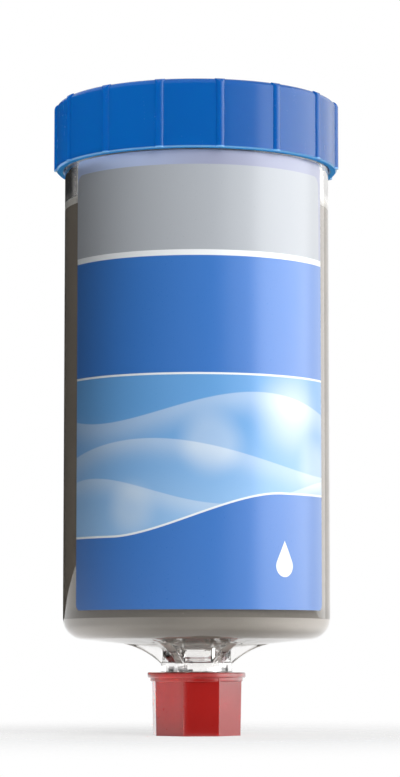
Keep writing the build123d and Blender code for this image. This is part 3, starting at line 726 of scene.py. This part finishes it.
def make_grease_column():
    """The grease against the wall between the floor and the piston."""
    inside, low, top = 0.0213, PISTON_TRAVEL_ANCHOR, PISTON_LOW + WET
    section = rounded_section([(inside, low), (WET_RADIUS, low), (WET_RADIUS, top), (inside, top - 0.00014)])
    return turn_section(section, "grease_column")


def make_grease_floor():
    """The grease that lies on the container's floor and over the mouth of its outlet."""
    mouth = 0.01702
    section = rounded_section([
        (0.0, mouth), (FUNNEL_RADIUS, mouth), (WET_RADIUS, INNER_HEEL - WET, INNER_HEEL_ROUND, 8),
        (WET_RADIUS, PISTON_TRAVEL_ANCHOR + WET), (0.022, 0.0197), (0.0, 0.0174),
    ])
    return turn_section(section, "grease_floor")


def make_scale_numbers():
    """The numbers 0 to 12 round the dial, printed on the head's face."""
    everything = bmesh.new()
    for mark in range(SCALE_MARKS):
        text = bpy.data.curves.new("number", "FONT")
        text.body = str(mark)
        text.size = 0.0029
        text.offset = 0.00003
        text.align_x = "CENTER"
        text.align_y = "CENTER"
        text.extrude = INK
        text.resolution_u = 4
        carrier = bpy.data.objects.new("number", text)
        bpy.context.scene.collection.objects.link(carrier)
        shape = bpy.data.meshes.new_from_object(carrier.evaluated_get(bpy.context.evaluated_depsgraph_get()))
        angle = radians(SCALE_START - SCALE_STEP * mark)
        place = (SCALE_RADIUS * cos(angle), SCALE_RADIUS * sin(angle), FACE_HEIGHT + INK)
        shape.transform(Matrix.Translation(place) @ Matrix.Rotation(angle - pi / 2, 4, "Z"))
        everything.from_mesh(shape)
        bpy.data.objects.remove(carrier)
        bpy.data.meshes.remove(shape)
    bmesh.ops.remove_doubles(everything, verts=everything.verts, dist=1e-8)
    bmesh.ops.recalc_face_normals(everything, faces=everything.faces)
    return piece_from(everything, "scale_numbers")


container = make_container()
wear(container, clear_plastic)
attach(container, "canister")
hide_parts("container")

piston = make_piston()
wear(piston, piston_ivory)
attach(piston, "follower")
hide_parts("piston")

grease_column = make_grease_column()
wear(grease_column, grease_finish)
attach(grease_column, "canister")
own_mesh(grease_column)
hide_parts("grease")

grease_floor = make_grease_floor()
wear(grease_floor, grease_floor_finish)
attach(grease_floor, "canister")
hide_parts("grease")

grease_smear = make_grease_smear()
wear(grease_smear, grease_finish)
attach(grease_smear, "follower")
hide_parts("grease")

scale_numbers = make_scale_numbers()
wear(scale_numbers, number_print)
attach(scale_numbers, "canister")

for node, finish in {
    "label": label_print,
    "top_ring": ring_blue,
    "drive_head": head_grey,
    "head_seal": black_rubber,
    "dial_seal": black_rubber,
    "timing_board": board_green,
    "timing_resistors": resistor_dark,
    "contact_spring": spring_steel,
    "side_contact": contact_alloy,
    "cell_can": cell_steel,
    "cell_cap": cell_steel,
    "cell_gasket": gasket_cream,
    "cell_core": paste_grey,
    "gas_membrane": membrane_white,
    "cell_cover": head_grey,
    "dial": dial_dark,
    "dial_clip": spring_steel,
    "wiper": contact_alloy,
    "piston_seal": piston_rubber,
    "outlet_cap": cap_red,
    "cap_liner": liner_white,
}.items():
    wear(nodes[node], finish)


# ---------------------------------------------------------------- floor, light and camera
def mix_shaders(tree, mask, below, above):
    """below where the mask is 0 and above where it is 1."""
    mix = tree.nodes.new("ShaderNodeMixShader")
    for socket, value in zip(mix.inputs, (mask, below.outputs[0], above.outputs[0])):
        feed(tree, socket, value)
    return mix


def make_floor():
    """A plain pale floor that shows some of the shadow close to the lubricator and is clear further off.

    The white of the surroundings is seen through it, and so is the closure once it has been drawn off.
    """
    bm = bmesh.new()
    bmesh.ops.create_circle(bm, cap_ends=True, radius=3.0, segments=64)
    floor = piece_from(bm, "studio_floor")
    material, tree, shader = new_finish("studio floor")
    tone = noise(tree, place_on_piece(tree), 25.0, 3.0)
    pale = blend_colour(tree, tone, (0.86, 0.86, 0.86), (0.89, 0.89, 0.89))
    give(tree, shader, Base_Color=pale, Roughness=0.9, Specular_IOR_Level=0.0)
    glow = tree.nodes.new("ShaderNodeEmission")
    clear = tree.nodes.new("ShaderNodeBsdfTransparent")
    path = tree.nodes.new("ShaderNodeLightPath")
    mirrored = calc(tree, "MAXIMUM", path.outputs["Is Glossy Ray"], path.outputs["Is Transmission Ray"])
    x, y, _ = place_in_mm(tree)
    far = calc(tree, "MULTIPLY_ADD", fade(tree, distance(tree, x, y), 20, 120), 0.3, 0.7)
    seen = calc(tree, "MULTIPLY", path.outputs["Is Camera Ray"], far)
    surface = mix_shaders(tree, mirrored, shader, glow)
    surface = mix_shaders(tree, seen, surface, clear)
    give(tree, tree.nodes["Material Output"], Surface=surface.outputs[0])
    wear(floor, material)


def make_surroundings(ambient):
    """White where it is seen, mirrored or looked at through the plastic, and dimmer as light.

    What reaches the eye after a reflection inside the clear wall is dimmed as well.
    """
    world = bpy.data.worlds.new("studio")
    world.use_nodes = True
    bpy.context.scene.world = world
    tree = world.node_tree
    white = tree.nodes["Background"]
    give(tree, white, Color=(1.0, 1.0, 1.0))
    dim = tree.nodes.new("ShaderNodeBackground")
    give(tree, dim, Strength=ambient)
    path = tree.nodes.new("ShaderNodeLightPath")
    looked_at = calc(tree, "MAXIMUM", path.outputs["Is Camera Ray"], path.outputs["Is Glossy Ray"])
    looked_at = calc(tree, "MAXIMUM", looked_at, path.outputs["Is Transmission Ray"])
    first = calc(tree, "LESS_THAN", path.outputs["Diffuse Depth"], 0.5)
    bounced = calc(tree, "GREATER_THAN", path.outputs["Glossy Depth"], 0.5)
    inner = calc(tree, "MULTIPLY", bounced, path.outputs["Is Transmission Ray"])
    kept = calc(tree, "MULTIPLY_ADD", inner, -0.8, 1.0)
    seen = calc(tree, "MULTIPLY", looked_at, calc(tree, "MULTIPLY", first, kept))
    surface = mix_shaders(tree, seen, dim, white)
    give(tree, tree.nodes["World Output"], Surface=surface.outputs[0])


def make_softbox(name, place, width, height, power, diffuse=True, glossy=True, aim=(0, 0, 0.06), spread=180):
    """A rectangular lamp that faces the lubricator."""
    lamp = bpy.data.lights.new(name, "AREA")
    lamp.shape = "RECTANGLE"
    lamp.size = width
    lamp.size_y = height
    lamp.energy = power
    lamp.spread = radians(spread)
    carrier = bpy.data.objects.new(name, lamp)
    carrier.location = place
    carrier.rotation_euler = (Vector(aim) - Vector(place)).to_track_quat("-Z", "Y").to_euler()
    carrier.visible_camera = False
    carrier.visible_diffuse = diffuse
    carrier.visible_glossy = glossy
    bpy.context.scene.collection.objects.link(carrier)


def make_flag(
    name, radius, start, end, low, high, diffuse=True, glossy=True, transmission=True, cloth=dark_cloth
):
    """A curved cloth flag round the set, between two compass angles; the camera doesn't see it."""
    bm = bmesh.new()
    edge = bm.edges.new((bm.verts.new((radius, 0, low)), bm.verts.new((radius, 0, high))))
    bmesh.ops.rotate(bm, verts=bm.verts, cent=(0, 0, 0), matrix=Matrix.Rotation(radians(start), 3, "Z"))
    bmesh.ops.spin(
        bm, geom=[edge, *edge.verts], cent=(0, 0, 0), axis=(0, 0, 1), dvec=(0, 0, 0),
        angle=radians(end - start), steps=24, use_merge=False, use_duplicate=False,
    )
    flag = piece_from(bm, name)
    flag.visible_camera = False
    flag.visible_diffuse = diffuse
    flag.visible_shadow = diffuse
    flag.visible_glossy = glossy
    flag.visible_transmission = transmission
    wear(flag, cloth)


def make_camera():
    """A long lens, low down and looking slightly upwards at the label."""
    lens = bpy.data.cameras.new("camera")
    lens.lens = 124.23
    lens.sensor_width = 36
    camera = bpy.data.objects.new("camera", lens)
    camera.location = (-0.02132, -0.48313, 0.0140)
    camera.rotation_euler = (radians(95.71), 0, radians(-2.6))
    bpy.context.scene.collection.objects.link(camera)
    bpy.context.scene.camera = camera


make_floor()
make_surroundings(0.42)
make_softbox("key", (0.4, -0.69, 0.42), 0.4, 0.4, 5.0, glossy=False)
make_softbox("right_sheen", (0.411, -0.087, 0.12), 0.485, 0.6, 3.0, diffuse=False)
make_softbox("rear_sheen", (0.344, 0.241, 0.12), 0.24, 0.6, 0.45, diffuse=False)
make_softbox("ring_fill", (-0.6, -0.35, 0.155), 0.3, 0.01, 1.9, glossy=False, aim=(0, 0, 0.108))
for name, across, power in (("low_left_fill", -0.27, 0.0022), ("low_right_fill", 0.27, 0.0012)):
    place = (across, -0.07, 0.004)
    make_softbox(name, place, 0.06, 0.006, power, glossy=False, aim=(0, 0, 0.01), spread=5)
make_softbox("ring_edge_fill", (-0.6, 0.1, 0.155), 0.2, 0.01, 1.8, glossy=False, aim=(0, 0, 0.108))
make_flag("ring_fill_flag", 0.10, 155, 240, 0.02, 0.1082, glossy=False, transmission=False)
make_flag("back_left_flag", 0.30, 91.5, 140, 0.02, 0.35, glossy=False)
make_flag("neck_shade", 0.29, 98, 140, 0.0, 0.02, glossy=False, cloth=grey_cloth)
make_flag("low_front_flag", 0.0115, 261, 296, 0.0, 0.0100, diffuse=False, transmission=False)
make_flag("front_left_flag", 0.60, 95, 292, 0.015, 0.32, diffuse=False, transmission=False)
make_flag("gas_space_flag", 0.31, 134, 190, 0.11, 0.35, diffuse=False, glossy=False)
make_camera()
bpy.context.scene.view_settings.view_transform = "Standard"
bpy.context.scene.cycles.max_bounces = 32
bpy.context.scene.cycles.transmission_bounces = 32
